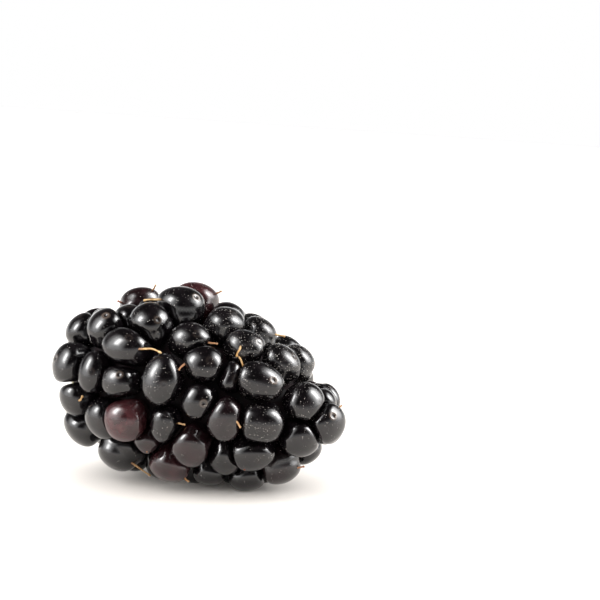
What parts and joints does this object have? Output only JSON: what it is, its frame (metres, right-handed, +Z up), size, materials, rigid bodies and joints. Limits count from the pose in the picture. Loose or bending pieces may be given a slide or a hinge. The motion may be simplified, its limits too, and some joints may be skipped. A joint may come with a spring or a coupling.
{
  "type": "bramble berry",
  "caption": "Ripe bramble berry lying on its side: glossy black drupelets in a cone, pale stalk scar at the blunt end and dried style threads",
  "frame": {"origin": "on the resting surface, under the middle of the berry's bounding box", "axes": "+Z up; +X along the berry from its blunt calyx end towards its tip, with the axis tilted 7 degrees down to the tip; -Y is the front"},
  "size_m": [0.0339, 0.0214, 0.0208],
  "materials": {
    "skin": "glossy near-black fruit skin, a few drupelets tinted wine red",
    "pith": "matte pale green and cream stalk tissue, slightly fibrous",
    "dried_style": "dry straw-brown plant thread"
  },
  "bodies": {
    "root": {"berry": "skin", "stalk_scar": "pith", "style_01": "dried_style", "style_02": "dried_style", "style_03": "dried_style", "style_04": "dried_style", "style_05": "dried_style", "style_06": "dried_style", "style_07": "dried_style", "style_08": "dried_style", "style_09": "dried_style", "style_10": "dried_style", "style_11": "dried_style", "style_12": "dried_style", "style_13": "dried_style", "style_14": "dried_style", "style_15": "dried_style", "style_16": "dried_style", "style_17": "dried_style", "style_18": "dried_style", "style_19": "dried_style", "style_20": "dried_style", "style_21": "dried_style", "style_22": "dried_style", "style_23": "dried_style", "style_24": "dried_style", "style_25": "dried_style", "style_26": "dried_style", "style_27": "dried_style", "style_28": "dried_style", "style_29": "dried_style", "style_30": "dried_style", "style_31": "dried_style", "style_32": "dried_style", "style_33": "dried_style", "style_34": "dried_style", "style_35": "dried_style"}
  },
  "joints": []
}
